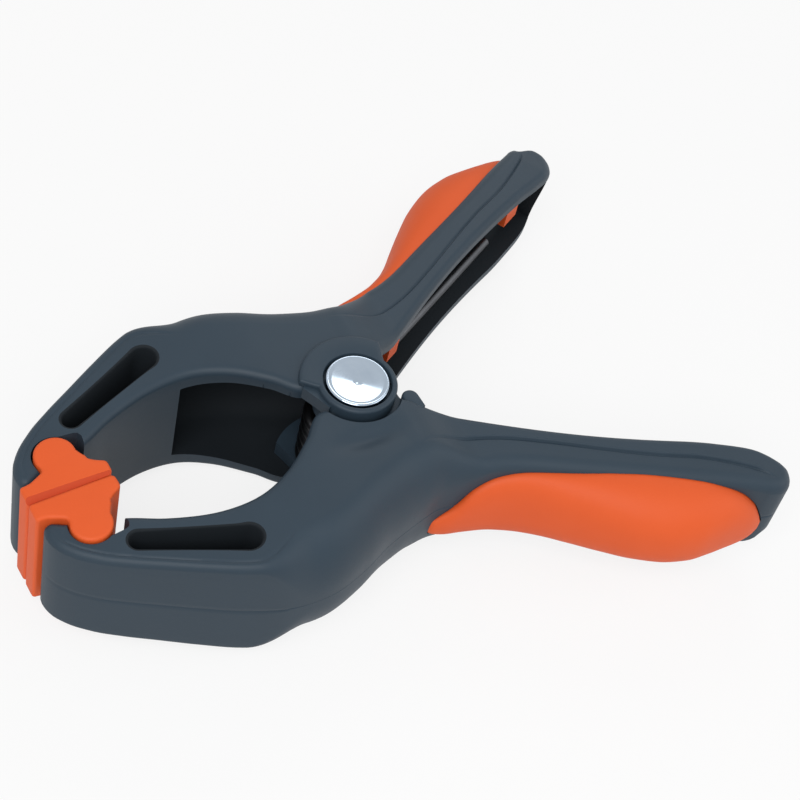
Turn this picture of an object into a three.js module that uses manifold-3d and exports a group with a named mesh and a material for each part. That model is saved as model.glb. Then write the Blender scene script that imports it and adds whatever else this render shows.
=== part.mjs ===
// Spring clamp of the six inch class, lying on its side with its jaws closed.
// Millimetres. The rivet axis is Z and passes through the origin, the jaws point along -X
// and the handles along +X. Both arms are the same moulding: the front arm is the rear arm
// turned half a turn about the X axis.

import * as THREE from 'three';
import Module from 'manifold-3d';
import { mergeVertices } from 'three/addons/utils/BufferGeometryUtils.js';

const wasm = await Module();
wasm.setup();

// ---------------------------------------------------------------- driving dimensions

// clearances
const SLIP_GAP = 0.4;            // between faces that turn on each other
const SEAT_GAP = 0.3;            // between faces that sit together without turning
const PIN_GAP = 0.3;             // radial, rivet shank in its bores

// rivet
const HEAD_RADIUS = 6.5;
const HEAD_THICKNESS = 1.7;      // at the rim, which lies level with the boss
const HEAD_RECESS_GAP = 0.5;     // ring round the head, in its recess in the boss
const HEAD_RIM_WIDTH = 0.7;
const HEAD_DISH_DEPTH = 0.7;
const SHANK_RADIUS = 4.0;
const SPIGOT_RADIUS = 2.4;       // the end of the rivet that the cap is pressed on
const SPIGOT_LENGTH = 1.2;

// ears and the layers along the rivet, from the outside to the middle
const BOSS_HALF_HEIGHT = 17.8;   // outer face of each outer ear above the middle plane
const BOSS_RADIUS = 8.7;
const PLATEAU_RADIUS = 12.2;     // raised round face on the arm's own side of the boss
const OUTER_EAR_THICKNESS = 4.2;
const INNER_EAR_THICKNESS = 3.4;
const COLLAR_WALL = 1.5;
const SADDLE_GAP = 1.2;          // between an outer ear and the other arm's saddle round it
const EAR_ROOT = 4.2;            // how far the inner ear's root reaches beyond the saddle

// torsion spring
const WIRE_RADIUS = 1.4;
const COIL_RADIUS = 8.1;         // to the middle of the wire
const COIL_PITCH = 3.3;
const COIL_WHOLE_TURNS = 4;      // and a third of a turn, so that the legs leave symmetrically
const LEG_LENGTH = 66;
const STEPS_PER_TURN = 8;
const WIRE_SIDES = 5;

// arm: half thickness above the middle plane at stations along X
const SHOULDER_HALF = 16.8;
const SHOULDER_REACH = 13;
const SHOULDER_END_X = 5;        // from here the arm falls to the handle's thickness
const CORNER_HALF = 14.6;
const TIP_HALF = 12.0;
const HANDLE_HALF = 11.7;
const HANDLE_START_X = 18;
const HANDLE_END_HALF = 10.2;
const EDGE_ROUND = 1.6;
const SHOULDER_DOME = [8.5, 14]; // how far the rounding of the shoulder's outer wall reaches in and down
const HANDLE_DOME = [3.0, 2.4];
const END_DOME = [2.6, 3.4];

// arm: walls
const FLANGE_JAW = 4.6;          // top and bottom walls of the channel
const FLANGE_HANDLE = 2.7;
const WEB_THICKNESS = 3.4;       // outer wall of the channel
const WEB_SLANT = 1.08;          // the jaw's wall slants, so it is this much thicker along Y
const CORE_ROUND = [0.85, 0.82]; // the hollow's rounding against the outside's, in and down
const END_WALL = 3.7;

// jaw, seen from above
const TIP_X = -70.2;
const TIP_INNER_Y = 6.2;
const TIP_MIDDLE_Y = 9.0;
const TIP_CORNER = [[0.2, 0.9], [0.9, 0.1], [1.8, 0]];   // from the tip's inner corner, along X and Y
const TIP_OUTER = [-68.0, 12.6];
const SHOULDER_OUTER = [-58.5, 19.6];
const CORNER = [-38.4, 29.9];
const BACK_CURVE = [[-33.5, 31.9], [-27.5, 33.1], [-21.0, 33.3], [-14.0, 31.8], [-7.0, 28.8], [0, 26.0]];
const WAIST = [8.5, 24.2];
const THROAT_START = [-54.2, 9.6];
const THROAT_CURVE = [[-47.5, 13.6], [-38.0, 16.4], [-30.0, 16.4], [-22.5, 13.6], [-15.5, 8.2], [-10.6, 3.0]];
const RECESS_START_X = -31;      // where the channel opens into the throat
const SHELF_Y = 11.7;            // beside the pad's socket
const SHELF_END_X = -55.2;

// slots in the jaw
const SLOT_TIP = [-55.2, 15.4];
const SLOT_TIP_RADIUS = 1.9;
const SLOT_ROOT = [-36.8, 22.4];
const SLOT_ROOT_RADIUS = 2.7;
const SLOT_WEB = 3.0;            // wall left between the upper and the lower slot

// pads
const PAD_CENTRE = [-61.6, 8.2];
const PAD_LOBE_RADIUS = 4.1;
const PAD_TIP_X = -68.4;
const PAD_ROOT_X = -53.4;
const PAD_FACE_GAP = 0.15;       // from each pad to the middle plane between them
const PAD_PROUD = 0.8;           // above the jaw's faces
const PAD_EDGE = 0.6;            // rounding of its edges

// handle, seen from above, in its own frame: s along it from the rivet, t outwards
const HANDLE_ANGLE = 28;
const HANDLE_INNER_T = 1.9;
const HANDLE_EDGE_BOW = 1.6;     // how far the open edge bows outwards at mid-length
const HANDLE_OUTER_T = 13;
const NECK_CURVE = [[26, 14.9], [32, 13.4]];
const HANDLE_STRAIGHT_S = 38;    // the outer wall is straight from here
const HANDLE_LENGTH = 94.5;
const END_CORNER_LONG = 10;      // the open edge runs into the end by a quarter ellipse
const END_CORNER_WIDE = 6.4;
const END_CORNER_OUTER = 4.4;
const BAND_START_S = 16;         // raised band along the open edge
const BAND_FULL_S = 32;
const BAND_EDGE = [[16, 9.5], [22, 7.5], [30, 6.5], [41, 6.8], [53, 7.6]];
const BAND_END = [[20.5, 7.7], [10.5, 8.6], [5.5, 10.4]];   // the same, back from the handle's end
const BAND_HEIGHT = 0.5;
const BAND_SOFTNESS = 0.8;       // share of its height that is rounded
const BAND_DEPTH = 1.2;          // how far the band's solid reaches into the wall under it
const NUB_CENTRE = [9.6, 5.8];   // stop beside the boss, on the side that faces the other ear
const NUB_RADIUS = 1.8;
const NUB_TOP = 15.0;            // its height above the middle plane

// grip
const GRIP_START_S = 17.5;
const GRIP_END_GAP = 4.3;        // from its last section to the handle's end
// stations: share of its length, swell out of the wall, lower and upper edge
const GRIP_STATIONS = [
  [0, 0.3, 4.6, 7.6],
  [0.0275, 1.0, 3.2, 8.6],
  [0.0688, 1.9, 0.4, 9.2],
  [0.1169, 2.7, -4.4, 9.6],
  [0.1719, 3.3, -7.2, 9.8],
  [0.2545, 3.9, -8.8, 10.0],
  [0.337, 4.9, -9.3, 10.0],
  [0.4195, 6.5, -9.7, 10.1],
  [0.5158, 8.5, -10.2, 10.3],
  [0.6121, 10.1, -10.5, 10.5],
  [0.6946, 10.6, -10.5, 10.5],
  [0.7772, 9.7, -10.3, 10.3],
  [0.8459, 7.5, -9.4, 9.7],
  [0.901, 5.3, -7.8, 8.9],
  [0.956, 3.0, -4.4, 7.6],
  [0.9862, 1.4, -1.0, 6.0],
  [1, 0.4, 1.2, 4.4],
];
const GRIP_SECTION = [0.9, 0.85];  // powers of the section's rounding, outwards and in height
const GRIP_SUNK = 0.1;           // its edge lies this far under the wall's face
const GRIP_ARC_STEPS = 12;
const GRIP_RECESS = 1.2;         // depth of its seat in the web
const FIRST_WINDOW = 13;         // past the grip's start, where it passes through the web
const LAST_WINDOW = 16.5;        // back from the handle's end
const WINDOW_LENGTH = 8;
const WINDOW_HEIGHT = 8.4;
const BOSS_PROUD = 1.2;          // of the grip's bosses inside the channel

// ---------------------------------------------------------------- materials

const nylon = new THREE.MeshStandardMaterial({ color: 0x434e5a, roughness: 0.55, metalness: 0 });
const rubber = new THREE.MeshStandardMaterial({ color: 0xe8632c, roughness: 0.6, metalness: 0 });
const polishedSteel = new THREE.MeshStandardMaterial({ color: 0xd5dae0, roughness: 0.18, metalness: 1 });
const springSteel = new THREE.MeshStandardMaterial({ color: 0x3a3d42, roughness: 0.35, metalness: 1 });

// ---------------------------------------------------------------- derived places

const degrees = Math.PI / 180;
const handleDirection = new THREE.Vector2(Math.cos(HANDLE_ANGLE * degrees), Math.sin(HANDLE_ANGLE * degrees));
const earOuter = BOSS_HALF_HEIGHT - OUTER_EAR_THICKNESS;
const innerEarOuter = earOuter - SLIP_GAP;
const innerEarInner = innerEarOuter - INNER_EAR_THICKNESS;
const boreRadius = SHANK_RADIUS + PIN_GAP;
const collarRadius = boreRadius + COLLAR_WALL;
const saddleRadius = BOSS_RADIUS + SADDLE_GAP;
const socketRadius = PAD_LOBE_RADIUS + SEAT_GAP;
const gripWindows = [GRIP_START_S + FIRST_WINDOW, HANDLE_LENGTH - LAST_WINDOW];
const bandEdge = [...BAND_EDGE, ...BAND_END.map(([back, across]) => [HANDLE_LENGTH - back, across])]
  .filter(([along], i, list) => i === 0 || along > list[i - 1][0]);
const openEdgeStart = saddleRadius * 2;
const openEdgeEnd = HANDLE_LENGTH - END_CORNER_LONG;

function point(pair) {
  return new THREE.Vector2(pair[0], pair[1]);
}

// A place on the rear handle: s along it from the rivet, t outwards from its axis.
function onHandle(s, t) {
  return new THREE.Vector2(
    s * handleDirection.x - t * handleDirection.y,
    s * handleDirection.y + t * handleDirection.x,
  );
}

// Straight-line interpolation through stations [place, value], level beyond the ends.
function stations(list) {
  return (place) => {
    if (place <= list[0][0]) return list[0][1];
    for (let i = 1; i < list.length; i += 1) {
      const [from, low] = list[i - 1];
      const [to, high] = list[i];
      if (place <= to) return low + (high - low) * (place - from) / (to - from);
    }
    return list[list.length - 1][1];
  };
}

// The open edge of the handle: straight at both ends, bowed between them.
function innerEdge(s) {
  const run = Math.min(1, Math.max(0, (s - openEdgeStart) / (openEdgeEnd - openEdgeStart)));
  return HANDLE_INNER_T + HANDLE_EDGE_BOW * Math.sin(Math.PI * run);
}

const handleEndX = onHandle(HANDLE_LENGTH, HANDLE_INNER_T).x;
const armHalf = stations([
  [TIP_X, TIP_HALF],
  [CORNER[0], CORNER_HALF],
  [-SHOULDER_REACH, SHOULDER_HALF],
  [SHOULDER_END_X, SHOULDER_HALF],
  [HANDLE_START_X, HANDLE_HALF],
  [handleEndX * 0.75, HANDLE_HALF],
  [handleEndX, HANDLE_END_HALF],
]);
const flange = stations([
  [CORNER[0], FLANGE_JAW],
  [-SHOULDER_REACH, SHOULDER_HALF - earOuter],
  [SHOULDER_END_X, SHOULDER_HALF - earOuter],
  [HANDLE_START_X, FLANGE_HANDLE],
]);

// How far the rounding of the upper and lower edges reaches in and down at a place.
const domeIn = stations([
  [CORNER[0] - 3, EDGE_ROUND], [BACK_CURVE[1][0], SHOULDER_DOME[0]], [0, SHOULDER_DOME[0]],
  [HANDLE_START_X, HANDLE_DOME[0]],
]);
const domeDown = stations([
  [CORNER[0] - 3, EDGE_ROUND], [BACK_CURVE[1][0], SHOULDER_DOME[1]], [0, SHOULDER_DOME[1]],
  [HANDLE_START_X, HANDLE_DOME[1]],
]);

function edgeRound(p) {
  const s = p.dot(handleDirection);
  const t = handleDirection.cross(p);
  if (s > HANDLE_LENGTH - END_CORNER_LONG) return END_DOME;
  if (t > HANDLE_OUTER_T / 2 && p.y > BACK_CURVE[0][1] / 2 + 4) return [domeIn(p.x), domeDown(p.x)];
  return [EDGE_ROUND, EDGE_ROUND];
}

// ---------------------------------------------------------------- solids

function toSolid(geometry) {
  const bare = geometry.clone();
  bare.deleteAttribute('normal');
  bare.deleteAttribute('uv');
  const merged = mergeVertices(bare, 1e-5);
  return new wasm.Manifold(new wasm.Mesh({
    numProp: 3,
    vertProperties: new Float32Array(merged.attributes.position.array),
    triVerts: new Uint32Array(merged.index.array),
  }));
}

function toGeometry(solid) {
  const mesh = solid.getMesh();
  const geometry = new THREE.BufferGeometry();
  geometry.setAttribute('position', new THREE.BufferAttribute(new Float32Array(mesh.vertProperties), 3));
  geometry.setIndex(new THREE.BufferAttribute(new Uint32Array(mesh.triVerts), 1));
  geometry.computeVertexNormals();
  return geometry;
}

// How an outline moves inwards: the least bisector that counts at a sharp corner, the share of
// a wall that each side may take in a wide and in a narrow rounding, and the least share of a
// stretch that is left, with the factor and the rounds in which its corners draw back.
const SHARP_CORNER = 0.8;
const WIDE_SHARE = 0.5;
const NARROW_SHARE = 0.3;
const STRETCH_LEFT = 0.1;
const DRAW_BACK = 0.8;
const DRAW_BACK_ROUNDS = 20;

// Distance from a place along a direction to the nearest edge of the outline ahead of it.
function distanceAcross(outline, place, direction) {
  let nearest = Infinity;
  for (let i = 0; i < outline.length; i += 1) {
    const from = outline[i].clone().sub(place);
    const edge = outline[(i + 1) % outline.length].clone().sub(outline[i]);
    const parallel = direction.cross(edge);
    const ahead = from.cross(edge) / parallel;
    const along = from.cross(direction) / parallel;
    if (ahead > 1e-6 && along >= 0 && along <= 1) nearest = Math.min(nearest, ahead);
  }
  return nearest;
}

// The outline moved inwards, corner by corner along the bisector, by a distance per corner.
// Corners move less in a thin wall, and where a stretch is too short or too tightly curved.
function inset(outline, distances) {
  const count = outline.length;
  const inward = outline.map((corner, i) => {
    const a = corner.clone().sub(outline[(i + count - 1) % count]).normalize();
    const b = outline[(i + 1) % count].clone().sub(corner).normalize();
    const bisector = new THREE.Vector2(-a.y - b.y, a.x + b.x);
    const length = Math.max(bisector.length(), SHARP_CORNER);
    return bisector.normalize().multiplyScalar(2 / length);
  });
  const reach = outline.map((corner, i) => {
    const across = distanceAcross(outline, corner, inward[i].clone().normalize());
    const share = distances[i] > EDGE_ROUND ? WIDE_SHARE : NARROW_SHARE;
    return Math.min(distances[i], share * across);
  });
  const moved = () => outline.map((corner, i) => corner.clone().addScaledVector(inward[i], reach[i]));
  for (let round = 0; round < DRAW_BACK_ROUNDS; round += 1) {
    const now = moved();
    for (let i = 0; i < count; i += 1) {
      const j = (i + 1) % count;
      const before = outline[j].clone().sub(outline[i]);
      const after = now[j].clone().sub(now[i]);
      if (after.dot(before) < STRETCH_LEFT * before.lengthSq()) {
        reach[i] *= DRAW_BACK;
        reach[j] *= DRAW_BACK;
      }
    }
  }
  return moved();
}

// A solid over an outline that runs anticlockwise: its top and bottom are functions of the
// place, and its upper and lower edges are rounded by quarter ellipses. round gives, for a
// place, how far the ellipse reaches in and down.
function slab(outline, top, bottom, round = null, arcSteps = 2) {
  const reaches = outline.map((p) => (round ? round(p) : [0, 0]));
  const rings = [];
  for (let i = round ? 0 : arcSteps; i <= arcSteps; i += 1) {
    const angle = (Math.PI / 2) * (1 - i / arcSteps);
    const share = 1 - Math.cos(angle);
    const points = i < arcSteps ? inset(outline, reaches.map(([reach]) => reach * share)) : outline;
    rings.push({ points, drops: reaches.map(([, drop]) => drop * (1 - Math.sin(angle))) });
  }
  const layers = [
    ...rings.map(({ points, drops }) => points.map((p, i) => [p.x, p.y, top(p) - drops[i]])),
    ...rings.reverse().map(({ points, drops }) => points.map((p, i) => [p.x, p.y, bottom(p) + drops[i]])),
  ];
  const count = outline.length;
  const index = [];
  for (let k = 0; k + 1 < layers.length; k += 1) {
    for (let i = 0; i < count; i += 1) {
      const j = (i + 1) % count;
      const upper = k * count;
      const lower = upper + count;
      index.push(upper + i, lower + i, lower + j);
      index.push(upper + i, lower + j, upper + j);
    }
  }
  const capRing = layers[0].map(([x, y]) => new THREE.Vector2(x, y));
  const lastRing = (layers.length - 1) * count;
  for (const [a, b, c] of THREE.ShapeUtils.triangulateShape(capRing, [])) {
    index.push(a, b, c);
    index.push(lastRing + a, lastRing + c, lastRing + b);
  }
  const geometry = new THREE.BufferGeometry();
  geometry.setAttribute('position', new THREE.Float32BufferAttribute(layers.flat(2), 3));
  geometry.setIndex(index);
  return toSolid(geometry);
}

// The same rounding everywhere.
function evenly(radius) {
  return () => [radius, radius];
}

// A solid through rings of points of equal count, closed by its first and last ring.
function loft(sections) {
  const count = sections[0].length;
  const positions = sections.flat().flatMap((p) => [p.x, p.y, p.z]);
  const index = [];
  for (let k = 0; k + 1 < sections.length; k += 1) {
    for (let i = 0; i < count; i += 1) {
      const j = (i + 1) % count;
      const near = k * count;
      const far = near + count;
      index.push(near + i, near + j, far + j);
      index.push(near + i, far + j, far + i);
    }
  }
  const last = (sections.length - 1) * count;
  for (let i = 1; i + 1 < count; i += 1) {
    index.push(0, i + 1, i);
    index.push(last, last + i, last + i + 1);
  }
  const geometry = new THREE.BufferGeometry();
  geometry.setAttribute('position', new THREE.Float32BufferAttribute(positions, 3));
  geometry.setIndex(index);
  const solid = toSolid(geometry);
  return solid.volume() > 0 ? solid : toSolid(flipped(geometry));
}

function flipped(geometry) {
  const turned = geometry.clone();
  turned.setIndex([...geometry.index.array].reverse());
  return turned;
}

function circleOutline(centre, radius, segments = 48) {
  const outline = [];
  for (let i = 0; i < segments; i += 1) {
    const angle = (2 * Math.PI * (i + 0.5)) / segments;
    outline.push(new THREE.Vector2(centre.x + radius * Math.cos(angle), centre.y + radius * Math.sin(angle)));
  }
  return outline;
}

function disc(centre, radius, low, high, round = 0, segments = 48) {
  const soft = round > 0 ? evenly(round) : null;
  return slab(circleOutline(centre, radius, segments), () => high, () => low, soft);
}

function joined(solids) {
  return solids.reduce((sum, solid) => sum.add(solid));
}

function arcPoints(centre, radius, from, to, steps) {
  const list = [];
  for (let i = 0; i <= steps; i += 1) {
    const angle = (from + ((to - from) * i) / steps) * degrees;
    list.push(new THREE.Vector2(centre.x + radius * Math.cos(angle), centre.y + radius * Math.sin(angle)));
  }
  return list;
}

function curvePoints(pairs, divisions) {
  return new THREE.SplineCurve(pairs.map((p) => (p.isVector2 ? p : point(p)))).getPoints(divisions);
}

const origin = new THREE.Vector2(0, 0);

// ---------------------------------------------------------------- arm

// Seen from above, anticlockwise: along the throat to the rivet, out along the open edge of
// the handle, round its end, back along the outer wall and round the jaw's tip.
function armOutline() {
  const socket = point(PAD_CENTRE);
  const throat = curvePoints([THROAT_START, ...THROAT_CURVE], 18);
  const end = HANDLE_LENGTH;
  const openEdge = [
    ...[0.97, 1.4].map((step) => saddleRadius * step),
    ...[0, 1, 2, 3, 4, 5, 6].map((step) => openEdgeStart + (step / 7) * (openEdgeEnd - openEdgeStart)),
  ].map((s) => onHandle(s, innerEdge(s)));
  const handleEnd = [
    ...[0, 1, 2, 3, 4, 5].map((step) => {
      const angle = (step / 5) * (Math.PI / 2);
      return onHandle(end - END_CORNER_LONG * (1 - Math.sin(angle)),
        HANDLE_INNER_T + END_CORNER_WIDE * (1 - Math.cos(angle)));
    }),
    ...arcPoints(onHandle(end - END_CORNER_OUTER, HANDLE_OUTER_T - END_CORNER_OUTER), END_CORNER_OUTER,
      HANDLE_ANGLE, HANDLE_ANGLE + 90, 4),
  ];
  const outer = curvePoints([
    onHandle(HANDLE_STRAIGHT_S + 10, HANDLE_OUTER_T),
    onHandle(HANDLE_STRAIGHT_S, HANDLE_OUTER_T),
    ...[...NECK_CURVE].reverse().map(([along, across]) => onHandle(along, across)),
    WAIST,
    ...[...BACK_CURVE].reverse(),
    CORNER,
  ], 32);
  const tip = [
    ...curvePoints([CORNER, SHOULDER_OUTER, TIP_OUTER, [TIP_X, TIP_MIDDLE_Y]], 10).slice(1),
    ...TIP_CORNER.map(([x, y]) => new THREE.Vector2(TIP_X + x, TIP_INNER_Y + y)),
  ];
  const mouth = Math.asin((socket.y - TIP_INNER_Y) / socketRadius) / degrees;
  const shelf = Math.asin((SHELF_Y - socket.y) / socketRadius) / degrees;
  return [
    ...throat,
    ...openEdge,
    ...handleEnd,
    ...outer,
    ...tip,
    ...arcPoints(socket, socketRadius, 180 + mouth, shelf, 14),
    new THREE.Vector2((socket.x + SHELF_END_X) / 2 + 1, SHELF_Y + 0.3),
    new THREE.Vector2(SHELF_END_X, SHELF_Y),
  ];
}

// The hollow of the channel, open towards the other arm.
function channelCore() {
  const half = (p) => armHalf(p.x) - flange(p.x);
  const web = WEB_THICKNESS;
  const wall = curvePoints([
    onHandle(HANDLE_LENGTH - END_WALL, HANDLE_OUTER_T - web),
    onHandle(HANDLE_STRAIGHT_S + 4, HANDLE_OUTER_T - web),
    ...[...NECK_CURVE].reverse().map(([along, across]) => onHandle(along, across - web)),
    [WAIST[0] - 0.1 * web, WAIST[1] - web],
    ...[...BACK_CURVE].reverse().map(([x, y]) => [x, y - web * WEB_SLANT]),
  ], 26);
  const outlineOfCore = [
    new THREE.Vector2(RECESS_START_X, -BOSS_RADIUS * 2),
    onHandle(0, -BOSS_RADIUS * 2),
    onHandle(HANDLE_LENGTH - END_WALL, -BOSS_RADIUS),
    ...wall.filter((p) => p.x > RECESS_START_X + 0.5),
    new THREE.Vector2(RECESS_START_X, BACK_CURVE[0][1] - web * WEB_SLANT),
  ];
  // rounded along the outer wall only, like the outside of the arm
  const round = (p) => {
    const [reach, drop] = edgeRound(p);
    return p.y > 0 && reach > EDGE_ROUND ? [reach * CORE_ROUND[0], drop * CORE_ROUND[1]] : [0, 0];
  };
  return slab(outlineOfCore, half, (p) => -half(p), round, 3);
}

function slotPocket(sign) {
  const tip = point(SLOT_TIP);
  const root = point(SLOT_ROOT);
  const along = root.clone().sub(tip);
  const heading = Math.atan2(along.y, along.x) / degrees;
  const lean = Math.asin((SLOT_ROOT_RADIUS - SLOT_TIP_RADIUS) / along.length()) / degrees;
  const outline = [
    ...arcPoints(root, SLOT_ROOT_RADIUS, heading - 90 - lean, heading + 90 + lean, 9),
    ...arcPoints(tip, SLOT_TIP_RADIUS, heading + 90 + lean, heading + 270 - lean, 7),
  ];
  const far = sign * (SHOULDER_HALF + 5);
  const near = (sign * SLOT_WEB) / 2;
  return slab(outline, () => Math.max(far, near), () => Math.min(far, near));
}

// The raised band along the handle's open edge, above and below. It rises out of the arm
// beside the boss.
function edgeBand() {
  const last = bandEdge[bandEdge.length - 1];
  const outline = [
    ...[0, 0.25, 0.5, 0.75, 1].map((share) => {
      const s = BAND_START_S + share * (openEdgeEnd - BAND_START_S);
      return onHandle(s, innerEdge(s) + BAND_HEIGHT);
    }),
    onHandle(last[0], (HANDLE_INNER_T + last[1]) / 2),
    ...[...bandEdge].reverse().map(([along, across]) => onHandle(along, across)),
  ];
  const rise = stations([[BAND_START_S, -BAND_HEIGHT], [BAND_FULL_S, BAND_HEIGHT]]);
  const top = (p) => armHalf(p.x) + rise(p.dot(handleDirection));
  const under = (p) => armHalf(p.x) - BAND_DEPTH;
  const soft = evenly(BAND_HEIGHT * BAND_SOFTNESS);
  return slab(outline, top, under, soft).add(slab(outline, (p) => -under(p), (p) => -top(p), soft));
}

// The inner ear of the arm, under the other arm's outer ear, with its root in the flange and
// the collar that carries the spring.
function innerEar() {
  const rootRadius = saddleRadius + EAR_ROOT;
  const plate = [
    ...arcPoints(origin, BOSS_RADIUS, 180, 360, 20),
    new THREE.Vector2(BOSS_RADIUS, 4),
    ...arcPoints(origin, rootRadius, 45, 135, 8),
    new THREE.Vector2(-BOSS_RADIUS, 4),
  ];
  const root = [
    ...arcPoints(origin, saddleRadius, 150, 40, 12),
    ...arcPoints(origin, rootRadius, 45, 135, 8),
  ];
  const ear = slab(plate, () => -innerEarInner, () => -innerEarOuter);
  const rootSolid = slab(root, () => -innerEarInner, () => -earOuter - 1);
  const collar = disc(origin, collarRadius, -innerEarInner - 1, -SLIP_GAP / 2);
  return joined([ear, rootSolid, collar]);
}

// The rounded stop beside the boss, on the side of the arm that faces the other's outer ear.
function nub() {
  const outline = [
    ...arcPoints(point(NUB_CENTRE), NUB_RADIUS, 180, 360, 10),
    new THREE.Vector2(NUB_CENTRE[0] + NUB_RADIUS, NUB_CENTRE[1] + 3),
    new THREE.Vector2(NUB_CENTRE[0] - NUB_RADIUS, NUB_CENTRE[1] + 4.5),
  ];
  return slab(outline, () => -innerEarInner, () => -NUB_TOP, evenly(0.5));
}

function windowSolid(s, low, high, margin) {
  const a = s - WINDOW_LENGTH / 2 - margin;
  const b = s + WINDOW_LENGTH / 2 + margin;
  const z = WINDOW_HEIGHT / 2 + margin;
  const outline = [onHandle(a, low), onHandle(b, low), onHandle(b, high), onHandle(a, high)];
  return slab(outline, () => z, () => -z);
}

function armSolid() {
  const outline = armOutline();
  const half = (p) => armHalf(p.x);
  let arm = slab(outline, half, (p) => -half(p), edgeRound, 4);
  const column = slab(outline, () => 2 * SHOULDER_HALF, () => -2 * SHOULDER_HALF);
  const plateau = disc(origin, PLATEAU_RADIUS, earOuter, BOSS_HALF_HEIGHT, 0.5);
  arm = arm.add(plateau.intersect(column));
  arm = arm.add(edgeBand());
  arm = arm.subtract(channelCore());
  arm = arm.subtract(slotPocket(1)).subtract(slotPocket(-1));
  // room for the other arm's outer ear below, and for both ears and the coil between
  arm = arm.subtract(disc(origin, saddleRadius, -BOSS_HALF_HEIGHT - 5, earOuter));
  arm = arm.add(disc(origin, BOSS_RADIUS, earOuter, BOSS_HALF_HEIGHT, 0.5));
  arm = arm.add(innerEar());
  arm = arm.add(nub());
  arm = arm.subtract(disc(origin, boreRadius, -BOSS_HALF_HEIGHT - 5, BOSS_HALF_HEIGHT + 5));
  const recessRadius = HEAD_RADIUS + HEAD_RECESS_GAP;
  arm = arm.subtract(disc(origin, recessRadius, BOSS_HALF_HEIGHT - HEAD_THICKNESS - SEAT_GAP,
    BOSS_HALF_HEIGHT + 5));
  arm = arm.subtract(gripBody(SEAT_GAP));
  for (const s of gripWindows) {
    arm = arm.subtract(windowSolid(s, HANDLE_OUTER_T - WEB_THICKNESS - 2, HANDLE_OUTER_T + 4, SEAT_GAP));
  }
  return arm;
}

// ---------------------------------------------------------------- grip

// The outer wall of the arm, from its waist to the handle's straight side.
const waist = point(WAIST);
const wallT = stations([
  [waist.dot(handleDirection), handleDirection.cross(waist)],
  ...NECK_CURVE,
  [HANDLE_STRAIGHT_S, HANDLE_OUTER_T],
]);

// The grip without its bosses, grown by a margin: D-shaped sections set along the handle.
function gripBody(margin) {
  const length = HANDLE_LENGTH - GRIP_END_GAP - GRIP_START_S;
  const sections = GRIP_STATIONS.map(([share, swell, low, high]) => {
    const s = GRIP_START_S + share * length;
    const centre = (low + high) / 2;
    const half = (high - low) / 2 + margin;
    const inner = wallT(s) - GRIP_RECESS - margin;
    const ring = [[inner, -half], [inner, half]];
    for (let k = 0; k <= GRIP_ARC_STEPS; k += 1) {
      const angle = (Math.PI / 2) * (1 - (2 * k) / GRIP_ARC_STEPS);
      const out = Math.abs(Math.cos(angle)) ** GRIP_SECTION[0];
      const up = Math.sign(Math.sin(angle)) * Math.abs(Math.sin(angle)) ** GRIP_SECTION[1];
      ring.push([wallT(s) - GRIP_SUNK + swell * out, half * up]);
    }
    const place = s + margin * Math.sign(share - 0.5);
    return ring.map(([t, z]) => {
      const p = onHandle(place, t);
      return new THREE.Vector3(p.x, p.y, centre + z);
    });
  });
  return loft(sections);
}

function gripSolid() {
  let grip = gripBody(0);
  const webInner = HANDLE_OUTER_T - WEB_THICKNESS;
  for (const s of gripWindows) {
    grip = grip.add(windowSolid(s, webInner - BOSS_PROUD, HANDLE_OUTER_T, 0));
  }
  return grip;
}

// ---------------------------------------------------------------- pad

function padSolid() {
  const centre = point(PAD_CENTRE);
  const half = (p) => armHalf(p.x) + PAD_PROUD;
  const flangeY = TIP_INNER_Y - SEAT_GAP;
  const neckX = centre.x - Math.sqrt(socketRadius ** 2 - (centre.y - TIP_INNER_Y) ** 2) + SEAT_GAP;
  const body = [
    new THREE.Vector2(PAD_TIP_X, PAD_FACE_GAP),
    new THREE.Vector2(PAD_ROOT_X - PAD_EDGE, PAD_FACE_GAP),
    new THREE.Vector2(PAD_ROOT_X, PAD_FACE_GAP + 0.8),
    new THREE.Vector2(PAD_ROOT_X + 0.1, PAD_FACE_GAP + 2.6),
    new THREE.Vector2(PAD_ROOT_X - 0.7, PAD_FACE_GAP + 3.8),
    new THREE.Vector2(centre.x + PAD_LOBE_RADIUS + 0.5, flangeY - PAD_EDGE),
    new THREE.Vector2(centre.x + PAD_LOBE_RADIUS - 0.3, centre.y - PAD_EDGE),
    new THREE.Vector2(neckX + 0.1, centre.y - PAD_EDGE),
    new THREE.Vector2(neckX, flangeY),
    new THREE.Vector2(PAD_TIP_X + 0.5, flangeY),
    new THREE.Vector2(PAD_TIP_X, flangeY - PAD_EDGE),
  ];
  const soft = evenly(PAD_EDGE);
  const pad = slab(body, half, (p) => -half(p), soft);
  return pad.add(slab(circleOutline(centre, PAD_LOBE_RADIUS, 32), half, (p) => -half(p), soft));
}

// ---------------------------------------------------------------- spring

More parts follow.
